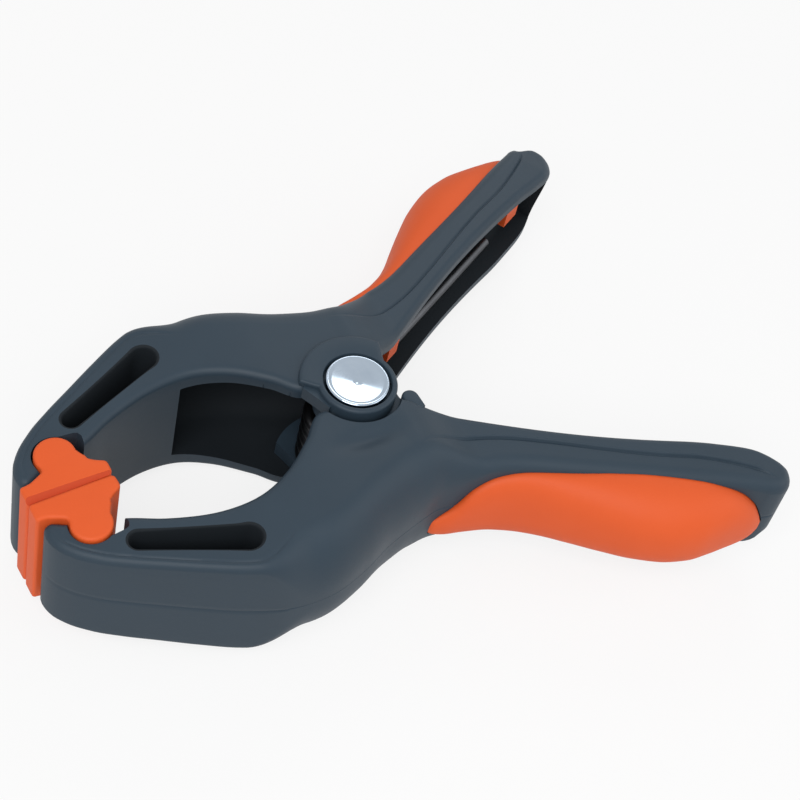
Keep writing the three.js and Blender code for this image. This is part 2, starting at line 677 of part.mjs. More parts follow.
// The middle line of the wire: a leg, the coil, a leg. It runs clockwise and upwards.
function springPath() {
  const seatT = HANDLE_OUTER_T - WEB_THICKNESS - SEAT_GAP - WIRE_RADIUS;
  const lean = Math.asin((seatT - COIL_RADIUS) / LEG_LENGTH);
  const legAngle = HANDLE_ANGLE * degrees + lean;
  const startAngle = -(legAngle + Math.PI / 2);
  const total = 2 * Math.PI * COIL_WHOLE_TURNS + (2 * Math.PI - 2 * (legAngle + Math.PI / 2));
  const steps = Math.round((total / (2 * Math.PI)) * STEPS_PER_TURN);
  const rise = (COIL_PITCH * total) / (2 * Math.PI);
  const points = [];
  for (let i = 0; i <= steps; i += 1) {
    const angle = startAngle - (total * i) / steps;
    points.push(new THREE.Vector3(COIL_RADIUS * Math.cos(angle), COIL_RADIUS * Math.sin(angle),
      -rise / 2 + (rise * i) / steps));
  }
  const last = points[points.length - 1];
  const first = points[0];
  const legEnd = last.clone().add(new THREE.Vector3(
    LEG_LENGTH * Math.cos(legAngle), LEG_LENGTH * Math.sin(legAngle), 0));
  const legStart = first.clone().add(new THREE.Vector3(
    LEG_LENGTH * Math.cos(legAngle), -LEG_LENGTH * Math.sin(legAngle), 0));
  return [legStart, ...points, legEnd];
}

function springSolid() {
  const path = springPath();
  const up = new THREE.Vector3(0, 0, 1);
  const sections = path.map((place, i) => {
    const before = path[Math.max(0, i - 1)];
    const after = path[Math.min(path.length - 1, i + 1)];
    const ahead = after.clone().sub(before).normalize();
    const side = ahead.clone().cross(up).normalize();
    const high = side.clone().cross(ahead).normalize();
    const ring = [];
    for (let k = 0; k < WIRE_SIDES; k += 1) {
      const angle = (2 * Math.PI * k) / WIRE_SIDES;
      ring.push(place.clone().addScaledVector(side, WIRE_RADIUS * Math.cos(angle))
        .addScaledVector(high, WIRE_RADIUS * Math.sin(angle)));
    }
    return ring;
  });
  return loft(sections);
}

// The least distance between stretches of the wire that lie at least half a turn apart.
function springSelfGap() {
  const path = springPath();
  const fine = [];
  for (let i = 1; i + 2 < path.length; i += 1) {
    for (let k = 0; k < 4; k += 1) fine.push(path[i].clone().lerp(path[i + 1], k / 4));
  }
  const apart = STEPS_PER_TURN * 2;
  let least = Infinity;
  for (let i = 0; i < fine.length; i += 1) {
    for (let j = i + apart; j < fine.length; j += 1) least = Math.min(least, fine[i].distanceTo(fine[j]));
  }
  return least - 2 * WIRE_RADIUS;
}

// ---------------------------------------------------------------- rivet

function lathe(profile, segments = 40) {
  return toSolid(new THREE.LatheGeometry(profile.map(([r, z]) => new THREE.Vector2(r, z)), segments)
    .rotateX(Math.PI / 2));
}

// The dished head, from its underside to the middle of the dish, as radius and height.
function headProfile(underside) {
  const top = BOSS_HALF_HEIGHT;
  return [
    [HEAD_RADIUS - 0.3, underside],
    [HEAD_RADIUS, underside + 0.4],
    [HEAD_RADIUS, top - 0.3],
    [HEAD_RADIUS - 0.3, top],
    [HEAD_RADIUS - HEAD_RIM_WIDTH, top],
    [HEAD_RADIUS - HEAD_RIM_WIDTH - 0.4, top - 0.3],
    [0.8, top - HEAD_DISH_DEPTH],
    [0, top - HEAD_DISH_DEPTH - 0.2],
  ];
}

function rivetSolid() {
  const underside = BOSS_HALF_HEIGHT - HEAD_THICKNESS;
  const capUnderside = -underside;
  return lathe([
    [0, capUnderside - SPIGOT_LENGTH],
    [SPIGOT_RADIUS - 0.3, capUnderside - SPIGOT_LENGTH],
    [SPIGOT_RADIUS, capUnderside - SPIGOT_LENGTH + 0.3],
    [SPIGOT_RADIUS, capUnderside + SEAT_GAP],
    [SHANK_RADIUS, capUnderside + SEAT_GAP],
    [SHANK_RADIUS, underside],
    ...headProfile(underside),
  ]);
}

function capSolid() {
  const underside = BOSS_HALF_HEIGHT - HEAD_THICKNESS;
  const bore = SPIGOT_RADIUS + SEAT_GAP;
  const profile = headProfile(underside).filter(([r]) => r > bore + 0.5);
  return lathe([
    [bore, underside],
    ...profile,
    [bore + 0.4, BOSS_HALF_HEIGHT - HEAD_DISH_DEPTH],
    [bore, BOSS_HALF_HEIGHT - HEAD_DISH_DEPTH - 0.1],
    [bore, underside],
  ]);
}

// ---------------------------------------------------------------- assembly

const object = new THREE.Group();

function part(name, solid, material) {
  const mesh = new THREE.Mesh(toGeometry(solid), material);
  mesh.name = name;
  return mesh;
}

const rearSide = new THREE.Group();
const frontSide = new THREE.Group();
frontSide.rotation.x = Math.PI;
for (const [side, place] of [[rearSide, 'rear'], [frontSide, 'front']]) {
  side.add(part(`${place}_arm`, armSolid(), nylon));
  side.add(part(`${place}_grip`, gripSolid(), rubber));
  side.add(part(`${place}_jaw_pad`, padSolid(), rubber));
  object.add(side);
}
const cap = part('pivot_cap', capSolid(), polishedSteel);
cap.rotation.x = Math.PI;
object.add(cap);
object.add(part('pivot_pin', rivetSolid(), polishedSteel));
object.add(part('torsion_spring', springSolid(), springSteel));
console.log(`least gap of the spring to itself: ${springSelfGap().toFixed(2)} mm`);

export default object;
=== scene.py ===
"""Spring clamp lying on its side: the looks of its pieces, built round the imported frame.

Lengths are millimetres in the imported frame, with the rivet's axis on Z, where they aren't said to
be metres. Both arms, both grips and both pads are one moulding each: the front one is the rear
one turned half a turn about X.
"""

import math

import bmesh
import bpy
import numpy as np
from mathutils import Matrix


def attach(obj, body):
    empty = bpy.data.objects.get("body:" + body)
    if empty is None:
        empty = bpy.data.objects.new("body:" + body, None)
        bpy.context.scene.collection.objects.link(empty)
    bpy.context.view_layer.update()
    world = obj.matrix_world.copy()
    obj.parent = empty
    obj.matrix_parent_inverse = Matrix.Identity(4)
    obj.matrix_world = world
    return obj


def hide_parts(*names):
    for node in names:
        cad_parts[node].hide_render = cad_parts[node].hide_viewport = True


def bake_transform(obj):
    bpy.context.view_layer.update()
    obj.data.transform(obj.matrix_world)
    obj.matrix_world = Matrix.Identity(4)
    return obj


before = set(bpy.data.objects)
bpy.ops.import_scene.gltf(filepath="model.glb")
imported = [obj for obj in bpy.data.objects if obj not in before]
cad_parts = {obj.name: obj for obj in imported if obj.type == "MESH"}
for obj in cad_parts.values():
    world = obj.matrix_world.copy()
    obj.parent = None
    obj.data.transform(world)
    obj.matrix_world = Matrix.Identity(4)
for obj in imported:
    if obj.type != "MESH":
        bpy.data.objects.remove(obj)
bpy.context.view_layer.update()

MM = 0.001

# ---------------------------------------------------------------- sizes

# the handle: its lean, its length from the rivet, and distances outwards from its axis
HANDLE_ANGLE = math.radians(28)
HANDLE_LENGTH = 92.4
INNER_EDGE_T = 1.9
INNER_EDGE_BOW = 1.9
BOW_START = 18.6    # place along the handle where its open edge starts to bow
OUTER_T = 13.0
WALL = 3.4
END_WALL = 3.7
# the handle's end: its inner rounding, the radius of its outer one, and where the two meet
END_LONG, END_WIDE = 9.0, 5.6
END_OUTER = 4.8
END_T = 8.0
# pulls at that end: of the inner corner above and below, and of the outer corner above
PULL_ABOVE, PULL_BELOW, PULL_OUTER = 1.1, 1.3, 1.8
PULL_FADE_T = 8.6
PULL_OUTER_T, PULL_OUTER_WIDTH = 11.0, 1.6

# the pivot: heights and radii of boss, ears, collar, rivet and cap
BOSS_TOP = 17.8
BOSS_RADIUS = 8.2
BOSS_SOFT = 0.7
EAR_UNDERSIDE = 13.6
PLATEAU_RADIUS = 11.8
PLATEAU_SOFT = 0.75
GUSSET_TOP = 16.6
SADDLE_RADIUS = 9.4
ROOT_RADIUS = 13.6
ROOT_LOW = -14.6
INNER_EAR = (-13.2, -9.8)
COLLAR_RADIUS = 5.8
BORE_RADIUS = 4.3
RECESS_RADIUS = 7.0
RECESS_FLOOR = 15.8
HEAD_RADIUS = 6.5
HEAD_SOFT = 0.35
HEAD_UNDERSIDE = 16.1
SHANK_RADIUS = 4.0
SPIGOT_RADIUS = 2.4
DISH_RADIUS = 5.55
DISH_SLOPE = math.tan(math.radians(5))
BEYOND = 30    # reach of the tools that cut right through

# radius of the arm's inner edges, and reach inwards and down of its edges at the handle's end
EDGE = 1.6
END_EDGE_IN, END_EDGE_DOWN = 2.6, 3.0
# height of the band beside its crease, and depths of the lines and the dip in the surface
BAND_HEIGHT = 0.5
SEAM_DEPTH = 0.22
GROOVE_DEPTH = 0.16
DIP_DEPTH = 1.1

# half height of the arm, thickness of its top wall, and how far the rounding of its outer edge
# reaches in and down, at stations along X
HALF_HEIGHT = [(-69.6, 12.5), (-37.8, 14.4), (-13, 16.5), (5, 16.5), (18, 11.6), (62, 11.4),
               (80.5, 9.7)]
TOP_WALL = [(-37.8, 4.6), (-13, 3.2), (5, 3.2), (18, 2.7)]
ROUND_IN = [(-46, 1.6), (-37.0, 1.8), (-24.5, 8.5), (0, 8.5), (18, 3.0)]
ROUND_DOWN = [(-46, 1.6), (-37.0, 1.9), (-24.5, 14.0), (0, 14.0), (18, 2.4)]
# the handle's outer wall: distance outwards at stations along it
OUTER_WALL = [(18.87, 17.38), (26, 14.9), (32, 13.4), (38, 13.0), (92.4, 13.0)]
# plan points of the crease beside the raised band
BAND_CREASE = [(3.4, 17.9), (8.7, 16.9), (15.6, 17.4), (23.8, 20.1), (33.1, 25.1), (42.3, 30.6),
               (51.6, 35.9), (61.4, 40.8), (70.3, 47.0), (74.0, 51.2)]

# the pad, its round lobe, the lobe's socket and the shelf above the socket
PAD_CENTRE = np.array([-61.1, 8.5])
LOBE_RADIUS = 4.1
SOCKET_RADIUS = 4.5
SHELF_Y = 12.1
SHELF_END_X = -54.6
PAD_PROUD = 0.8
PAD_SOFT = 0.7

# the jaw's slots: centres and radii of the round ends, height of the floor, flare of the mouth
SLOT_TIP, SLOT_TIP_RADIUS = np.array([-54.7, 15.3]), 1.9
SLOT_ROOT, SLOT_ROOT_RADIUS = np.array([-35.9, 23.3]), 2.7
SLOT_FLOOR = 1.5
SLOT_MOUTH = 0.55

# grip: place along the handle, swell out of the wall, lower and upper edge
GRIP = np.array([
    (17.5, 0.3, 4.6, 7.6), (19.4, 1, 3.2, 8.6), (22.4, 1.9, 0.4, 9.2), (25.8, 2.3, -4.6, 9.6),
    (29.6, 2.8, -7.2, 9.8), (35.5, 3.5, -8.8, 10), (41.3, 4.7, -9.3, 10), (47.1, 6.5, -9.7, 10.1),
    (53.9, 8.5, -10.2, 10.3), (60.7, 10.1, -10.4, 10.4), (66.5, 10.6, -10.3, 10.3),
    (72.4, 9.7, -10, 10), (77.2, 7.5, -9.2, 9.5), (81.1, 5.3, -7.7, 8.8), (85, 3, -4.4, 7.5),
    (87.1, 1.4, -1, 6), (88.1, 0.4, 1.2, 4.4),
])
GRIP_MIDDLE = 54
GRIP_GAP = 0.2    # between the grip and its seat
# windows in the handle's web: place, half length, and how far the grip's boss stands proud inside
WINDOWS = ((27.6, 2.0, 4.6), (81.2, 2.8, 3.8))
WINDOW_HALF_HEIGHT = 4.2
WINDOW_GAP = 0.25
# tools whose faces count as deep inside; the finishes paint them in shade, as little light reaches
# there
PAINTED_SHADE_TOOLS = ("channel_hollow", "jaw_slot", "seam_bevel")

# ---------------------------------------------------------------- curves


def smooth(stations, at):
    """A monotone cubic through stations (place, value): each slope is the harmonic mean of the
    slopes on its two sides, or zero at a turn. Level beyond the ends."""
    x, y = np.array(stations, float).T
    h = np.diff(x)
    d = np.diff(y) / h
    both = d[:-1] * d[1:]
    total = np.where(both > 0, d[:-1] + d[1:], 1.0)
    m = np.concatenate([d[:1], np.where(both > 0, 2 * both / total, 0.0), d[-1:]])
    at = np.clip(at, x[0], x[-1])
    i = np.clip(np.searchsorted(x, at) - 1, 0, len(x) - 2)
    t = (at - x[i]) / h[i]
    return (y[i] * (1 + 2 * t) * (1 - t) ** 2 + m[i] * h[i] * t * (1 - t) ** 2
            + y[i + 1] * t * t * (3 - 2 * t) + m[i + 1] * h[i] * t * t * (t - 1))


def step(low, high, at):
    """0 below low, 1 above high, with a smooth cubic between."""
    t = np.clip((np.asarray(at, float) - low) / (high - low), 0, 1)
    return t * t * (3 - 2 * t)


def bell(at, centre, width):
    """A bell curve, 1 at its centre."""
    return np.exp(-((at - centre) / width) ** 2)


def through(places, points, at):
    """A curve through plan points at the given places: cubic pieces, whose slope at a point is
    that of the parabola through it and its two neighbours."""
    x, y = np.asarray(places, float), np.asarray(points, float)
    h = np.diff(x)[:, None]
    d = np.diff(y, axis=0) / h
    inner = (h[1:] * d[:-1] + h[:-1] * d[1:]) / (h[1:] + h[:-1])
    m = np.concatenate([d[:1], inner, d[-1:]])
    i = np.clip(np.searchsorted(x, at) - 1, 0, len(x) - 2)
    t = ((at - x[i]) / h[i, 0])[:, None]
    return (y[i] * (1 + 2 * t) * (1 - t) ** 2 + m[i] * h[i] * t * (1 - t) ** 2
            + y[i + 1] * t * t * (3 - 2 * t) + m[i + 1] * h[i] * t * t * (t - 1))


def on_handle(s, t):
    """Plan place at s along the rear handle from the rivet and t outwards from its axis."""
    s, t = np.asarray(s, float), np.asarray(t, float)
    c, k = math.cos(HANDLE_ANGLE), math.sin(HANDLE_ANGLE)
    return np.stack(np.broadcast_arrays(s * c - t * k, s * k + t * c), -1)


def handle_place(plan):
    """The inverse: (s, t) of plan places."""
    c, k = math.cos(HANDLE_ANGLE), math.sin(HANDLE_ANGLE)
    return plan[..., 0] * c + plan[..., 1] * k, -plan[..., 0] * k + plan[..., 1] * c


def inner_edge(s):
    """The handle's open edge, bowed outwards by half a sine wave."""
    run = (np.asarray(s, float) - BOW_START) / (HANDLE_LENGTH - END_LONG - BOW_START)
    run = np.clip(run, 0, 1)
    return INNER_EDGE_T + INNER_EDGE_BOW * np.sin(math.pi * run)


def arc(centre, radius, start, stop, count):
    """Points round a circle between two angles in degrees."""
    a = np.radians(np.linspace(start, stop, count))
    return np.stack([centre[0] + radius * np.cos(a), centre[1] + radius * np.sin(a)], -1)


# ---------------------------------------------------------------- meshes


def grid_faces(rows, columns, closed):
    """Quads of a grid of rows by columns, whose columns may close round."""
    spans = columns if closed else columns - 1
    r, c = np.meshgrid(np.arange(rows - 1), np.arange(spans), indexing="ij")
    n = (c + 1) % columns
    corners = [r * columns + c, r * columns + n, (r + 1) * columns + n, (r + 1) * columns + c]
    return np.stack(corners, -1).reshape(-1, 4)


def linked(name, data):
    """A new object in the scene, of a mesh, a light or a camera."""
    thing = bpy.data.objects.new(name, data)
    bpy.context.scene.collection.objects.link(thing)
    return thing


def shell(name, points, faces, merge):
    """An object of points and faces. Doubles within merge millimetres become one point, and faces
    point out."""
    mesh = bpy.data.meshes.new(name)
    mesh.from_pydata((points.reshape(-1, 3) * MM).tolist(), [], faces)
    work = bmesh.new()
    work.from_mesh(mesh)
    bmesh.ops.remove_doubles(work, verts=work.verts, dist=merge * MM)
    bmesh.ops.dissolve_degenerate(work, edges=work.edges, dist=merge * MM * 0.1)
    bmesh.ops.recalc_face_normals(work, faces=work.faces)
    work.to_mesh(mesh)
    work.free()
    return linked(name, mesh)


def mesh_of(thing):
    """The mesh of an object, which is removed."""
    mesh = thing.data
    bpy.data.objects.remove(thing)
    return mesh


def solid(name, rings, merge=0.004, capped=True):
    """A closed body through rings of points of equal count, each ring closed round and the first
    and last ring capped, or shut already."""
    rings = np.asarray(rings, float)
    rows, columns = rings.shape[:2]
    faces = grid_faces(rows, columns, True).tolist()
    if capped:
        faces.append(list(range(columns - 1, -1, -1)))
        faces.append(list(range((rows - 1) * columns, rows * columns)))
    return shell(name, rings, faces, merge)


def prism(name, outline, low, high, soft=0.0, steps=4):
    """A body over a plan outline that runs anticlockwise. low and high are heights, or functions
    of the plan place. Its upper and lower edges are quarter circles of radius soft, made by
    moving the outline inwards along its corner normals."""
    outline = np.asarray(outline, float)
    ahead = np.roll(outline, -1, 0) - outline
    ahead /= np.linalg.norm(ahead, axis=1)[:, None]
    normal = ahead + np.roll(ahead, 1, 0)
    normal /= np.linalg.norm(normal, axis=1)[:, None]
    inward = np.stack([-normal[:, 1], normal[:, 0]], -1)
    turns = np.linspace(0, math.pi / 2, steps + 1) if soft else np.array([math.pi / 2])
    rings = []
    for level, way in ((low, 1), (high, -1)):
        height = level(outline) if callable(level) else np.full(len(outline), float(level))
        for a in turns[::way]:
            plan = outline + inward * soft * (1 - math.sin(a))
            rings.append(np.column_stack([plan, height + way * soft * (1 - math.cos(a))]))
    return solid(name, rings)


def turned(name, profile, sides=96, hollow=False):
    """A profile of (radius, height) carried round the rivet's axis. A hollow profile is closed
    on itself; any other starts and ends on the axis."""
    radius, height = np.asarray(profile, float).T
    a = (np.arange(sides) * 2 * math.pi / sides)[:, None]
    height = np.broadcast_to(height, (sides, len(radius)))
    rings = np.stack([radius * np.cos(a), radius * np.sin(a), height], -1)
    faces = grid_faces(sides + 1, len(radius), hollow) % (sides * len(radius))
    return shell(name, rings, faces.tolist(), 0.004)


def quarter(radius, top, soft):
    """Profile points of a rounded upper edge."""
    return [(radius - soft * (1 - math.cos(a)), top - soft + soft * math.sin(a))
            for a in np.linspace(0, math.pi / 2, 6)]


def carve(name, base, steps):
    """The base with each tool cut from it or joined to it in turn, as a new mesh of triangles.
    The base and the tools are removed. Faces left by the deep tools are 1 in the attribute inside,
    all others 0; the finishes paint shade on those faces."""
    things = [base] + [tool for _, tool in steps]
    for thing in things:
        mark = "inside" if thing.name.startswith(PAINTED_SHADE_TOOLS) else "outside"
        thing.data.materials.append(bpy.data.materials.new(mark))
    for kind, tool in steps:
        work = base.modifiers.new(tool.name, "BOOLEAN")
        work.operation = kind
        work.object = tool
        work.solver = "MANIFOLD"
        work.material_mode = "TRANSFER"
    bpy.context.view_layer.update()
    done = base.evaluated_get(bpy.context.evaluated_depsgraph_get())
    mesh = bpy.data.meshes.new_from_object(done)
    deep = np.array([m is not None and m.name.startswith("inside") for m in mesh.materials], float)
    slots = np.zeros(len(mesh.polygons), np.int32)
    mesh.polygons.foreach_get("material_index", slots)
    mesh.attributes.new("inside", "FLOAT", "FACE").data.foreach_set("value", deep[slots])
    mesh.materials.clear()
    mesh.polygons.foreach_set("material_index", slots * 0)
    work = bmesh.new()
    work.from_mesh(mesh)
    bmesh.ops.triangulate(work, faces=work.faces)
    work.to_mesh(mesh)
    work.free()
    for thing in things:
        bpy.data.objects.remove(thing)
    mesh.name = name
    return mesh


def piece(name, mesh, body, node, material, sharp=32.0):
    """The finished piece: smooth but for edges sharper than an angle, riding on its body in
    place of a CAD node."""
    mesh.name = name
    mesh.materials.clear()
    mesh.materials.append(material)
    mesh.shade_smooth()
    mesh.set_sharp_from_angle(angle=math.radians(sharp))
    thing = linked(name, mesh)
    if body:
        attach(thing, body)
    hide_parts(node)
    return thing


def half_turn(mesh):
    """A copy of the mesh turned half a turn about X."""
    copy = mesh.copy()
    place = np.zeros(len(mesh.vertices) * 3, np.float32)
    mesh.vertices.foreach_get("co", place)
    place = place.reshape(-1, 3) * np.array([1, -1, -1], np.float32)
    copy.vertices.foreach_set("co", place.ravel())
    copy.update()
    return copy


# ---------------------------------------------------------------- arm


def arm_sides():
    """Matching plan points along the arm's inner and outer side, from the jaw's nose to the
    handle's end, where the two sides meet."""
    inner = [(-69.6, 7.0), (-69.45, 6.0), (-69.0, 5.2), (-68.0, 4.75), (-65, 6.1), (-60, 7.3),
             (-53.8, 9.6), (-47.5, 12.6), (-38, 15.4), (-30, 15.6), (-22.5, 12.9), (-15.5, 7.7),
             (-10.2, 3.0), (-5, 3.8), (2, 5.0), (7.6, 6.1)]
    outer = [(-69.6, 7.0), (-69.45, 8.4), (-68.8, 10.3), (-67.2, 12.6), (-63.3, 16.2),
             (-58.4, 19.4), (-52.2, 22.9), (-45.6, 26.6), (-37.8, 30.6), (-30.5, 33.2),
             (-21, 33.7), (-12, 31.1), (-5, 28.0), (0, 26.4), (4.2, 25.2), (8.5, 24.3)]
    along_in = np.array([13.9, 18.5, 24, 30, 36.5, 44, 52, 60, 68, 75.5, HANDLE_LENGTH - END_LONG])
    along_out = np.array([22, 26, 30, 34.5, 38.5, 44, 52, 60, 68, 75.5, 81])
    phi = np.radians([17, 34, 50, 60, 70, 80])
    inner_end = on_handle(HANDLE_LENGTH - END_LONG * (1 - np.sin(phi)),
                          INNER_EDGE_T + END_WIDE * (1 - np.cos(phi)))
    centre_s, centre_t = HANDLE_LENGTH - END_OUTER, OUTER_T - END_OUTER
    theta = np.radians([0, 30, 55, 75])
    outer_end = np.concatenate([
        on_handle([84.3, 86.1], OUTER_T),
        on_handle(centre_s + END_OUTER * np.sin(theta), centre_t + END_OUTER * np.cos(theta)),
    ])
    last = on_handle([HANDLE_LENGTH], [END_T])
    inner = np.concatenate([inner, on_handle(along_in, inner_edge(along_in)), inner_end, last])
    wall = on_handle(along_out, smooth(OUTER_WALL, along_out))
    outer = np.concatenate([outer, wall, outer_end, last])
    return inner, outer


def crossing(inner, outer, line):
    """Where each section from inner to outer meets a plan line, as a share of the section. Beyond
    the line's ends the share is that of the nearest section that meets it."""
    across = (outer - inner)[:, None]
    off = line[None] - inner[:, None]
    side = across[..., 0] * off[..., 1] - across[..., 1] * off[..., 0]
    change = (side[:, :-1] * side[:, 1:]) < 0
    met = change.any(1)
    j = change.argmax(1)
    rows = np.arange(len(inner))
    share = side[rows, j] / np.where(met, side[rows, j] - side[rows, j + 1], 1)
    point = line[j] + share[:, None] * (line[j + 1] - line[j])
    square = (across[:, 0] ** 2).sum(-1)
    found = ((point - inner) * across[:, 0]).sum(-1) / np.maximum(square, 1e-9)
    return np.interp(rows, rows[met], found[met]), met


def nearest(points, line):
    """Least distance from each point to the corners of a dense plan line."""
    flat = points.reshape(-1, 2)
    best = np.full(len(flat), np.inf)
    for part in np.array_split(line, 8):
        best = np.minimum(best, ((flat[:, None] - part[None]) ** 2).sum(-1).min(1))
    return np.sqrt(best).reshape(points.shape[:-1])


def elliptic_drop(distance, reach, down):
    """How far a quarter ellipse lies below its crown at a distance from the edge."""
    inside = np.clip(1 - distance / reach, 0, 1)
    return down * (1 - np.sqrt(np.clip(1 - inside ** 2, 0, 1)))


def arm_body():
    """The arm before its pockets: plan sections between the two sides, carried along the arm.
    Height over the plan is the half height at that X, less quarter ellipses from each side, plus
    the raised band up to its crease; the walls between the ellipses stand upright."""
    inner_points, outer_points = arm_sides()
    chord = (np.linalg.norm(np.diff(inner_points, axis=0), axis=1)
             + np.linalg.norm(np.diff(outer_points, axis=0), axis=1)) / 2
    places = np.concatenate([[0], np.cumsum(chord)])
    total = places[-1]
    ends = 3.0 * np.linspace(0, 1, 10) ** 1.6
    at = np.unique(np.concatenate([ends, np.linspace(3.0, total - 3.0, 300), total - ends]))
    inner, outer = through(places, inner_points, at), through(places, outer_points, at)
    inner[[0, -1]] = outer[[0, -1]]
    crease_line = through(np.arange(len(BAND_CREASE)), BAND_CREASE,
                          np.linspace(0, len(BAND_CREASE) - 1, 400))
    crease, met = crossing(inner, outer, crease_line)
    crease = np.where(met, crease, 0.5 + (crease - 0.5) * 0.999)[:, None]
    halves = 0.5 * (1 - np.cos(math.pi * np.linspace(0, 1, 27)))
    q = np.concatenate([crease * halves, crease + (1 - crease) * halves[1:]], 1)
    plan = inner[:, None] + q[..., None] * (outer - inner)[:, None]
    x, y = plan[..., 0], plan[..., 1]
    fine = np.linspace(0, total, 3000)
    to_inner = nearest(plan, through(places, inner_points, fine))
    to_outer = nearest(plan, through(places, outer_points, fine))
    to_inner[:, 0] = 0
    to_outer[:, -1] = 0
    tips = np.minimum(at, total - at) < 0.01
    to_inner[tips] = 0
    to_outer[tips] = 0
    # edges rounded by quarter ellipses, which become wider at the handle's end
    outer_x = np.broadcast_to(outer[:, :1], x.shape)
    outer_s = np.broadcast_to(handle_place(outer)[0][:, None], x.shape)
    end = step(HANDLE_LENGTH - 12, HANDLE_LENGTH - 2, outer_s)
    reach_out = smooth(ROUND_IN, outer_x) * (1 - end) + END_EDGE_IN * end
    down_out = smooth(ROUND_DOWN, outer_x) * (1 - end) + END_EDGE_DOWN * end
    reach_in = EDGE * (1 - end) + END_EDGE_IN * end
    down_in = EDGE * (1 - end) + END_EDGE_DOWN * end
    drop = np.maximum(elliptic_drop(to_outer, reach_out, down_out),
                      elliptic_drop(to_inner, reach_in, down_in))
    # the raised band, which ends in a fine crease
    width = np.linalg.norm(outer - inner, axis=1)[:, None]
    section_s = handle_place(inner + crease * (outer - inner))[0][:, None]
    height = BAND_HEIGHT * step(9, 26, section_s) * (1 - step(84, 89, section_s)) * met[:, None]
    off_crease = (q - crease) * width
    rise = (height * (1 - step(-0.28, 0.28, off_crease))
            - 0.4 * height * bell(off_crease, 0.25, 0.2))
    # the line along the jaw's outer edge, which fades towards the shoulder
    seam = (SEAM_DEPTH * bell(to_outer - reach_out, 0.1, 0.28)
            * (1 - step(-34, -24, outer_x)) * step(-69, -66, outer_x))
    top = smooth(HALF_HEIGHT, x) + rise - drop - seam
    # soft dip beside the other arm's ear, on the side that faces it
    dip = DIP_DEPTH * np.exp(-((x + 4.0) / 6.0) ** 2 - ((y - 12.6) / 2.0) ** 2)
    bottom = top - dip
    # the upright walls, with a groove at half height round the outside
    fractions = np.array([0.8, 0.55, 0.3, 0.1, 0.035, 0, -0.035, -0.1, -0.3, -0.55, -0.8])
    groove = GROOVE_DEPTH * (fractions == 0)

    def wall(points, upper, lower, inwards):
        middle, span = (upper - lower) / 2, (upper + lower) / 2
        z = middle[:, None] + span[:, None] * fractions
        plan_points = points[:, None] + groove[None, :, None] * inwards[:, None]
        return np.concatenate([plan_points, z[..., None]], -1)

    inwards = (inner - outer) / np.maximum(width, 1e-6) * (width > 2)
    rings = np.concatenate([
        np.concatenate([plan, top[..., None]], -1)[:, ::-1],
        wall(inner, top[:, 0], bottom[:, 0], np.zeros_like(inner)),
        np.concatenate([plan, -bottom[..., None]], -1),
        wall(outer, top[:, -1], bottom[:, -1], inwards)[:, ::-1],
    ], 1)
    return solid("arm_body", rings, merge=0.0001, capped=False)


def channel_hollow():
    """The hollow of the channel: sections from beyond the arm's open side to its outer wall, with
    the upper and lower edge along that wall rounded by quarter ellipses."""
    inner = np.array([(-31, 6), (-29, 6), (-25, 4), (-19, 0), (-13, -6), (-6, -8), (1, -8), (8, -6),
                      (14, -1)])
    outer = np.array([(-31, 28.8), (-29, 29.4), (-24.5, 30.0), (-19, 29.6), (-13, 28.3), (-6, 25.3),
                      (1, 22.4), (8.2, 20.9), (13.2, 21.3)])
    along_in = np.array([22, 27, 32, 38, 50, 65, 78, 86.4, 87.5, 88.3, HANDLE_LENGTH - END_WALL])
    along_out = np.array([26, 29.5, 33, 38, 50, 65, 78, 86.4, 87.5, 88.4, HANDLE_LENGTH - END_WALL])
    wall = smooth(OUTER_WALL, along_out) - WALL - np.array([0] * 8 + [0.15, 0.6, 1.6])
    inner = np.concatenate([inner, on_handle(along_in, -6.0)])
    outer = np.concatenate([outer, on_handle(along_out, wall)])
    chord = np.linalg.norm(np.diff(outer, axis=0), axis=1)
    places = np.concatenate([[0], np.cumsum(chord)])
    at = np.linspace(0, places[-1], 170)
    inside, outside = through(places, inner, at), through(places, outer, at)
    q = np.sin(np.linspace(0, math.pi / 2, 40))
    plan = inside[:, None] + q[None, :, None] * (outside - inside)[:, None]
    distance = nearest(plan, through(places, outer, np.linspace(0, places[-1], 2000)))
    distance[:, -1] = 0
    reach = 0.85 * smooth(ROUND_IN, outside[:, :1])
    down = 0.82 * smooth(ROUND_DOWN, outside[:, :1])
    x = plan[..., 0]
    top = smooth(HALF_HEIGHT, x) - smooth(TOP_WALL, x) - elliptic_drop(distance, reach, down)
    rings = np.concatenate([np.concatenate([plan, top[..., None]], -1)[:, ::-1],
                            np.concatenate([plan, -top[..., None]], -1)], 1)
    return solid("channel_hollow", rings)


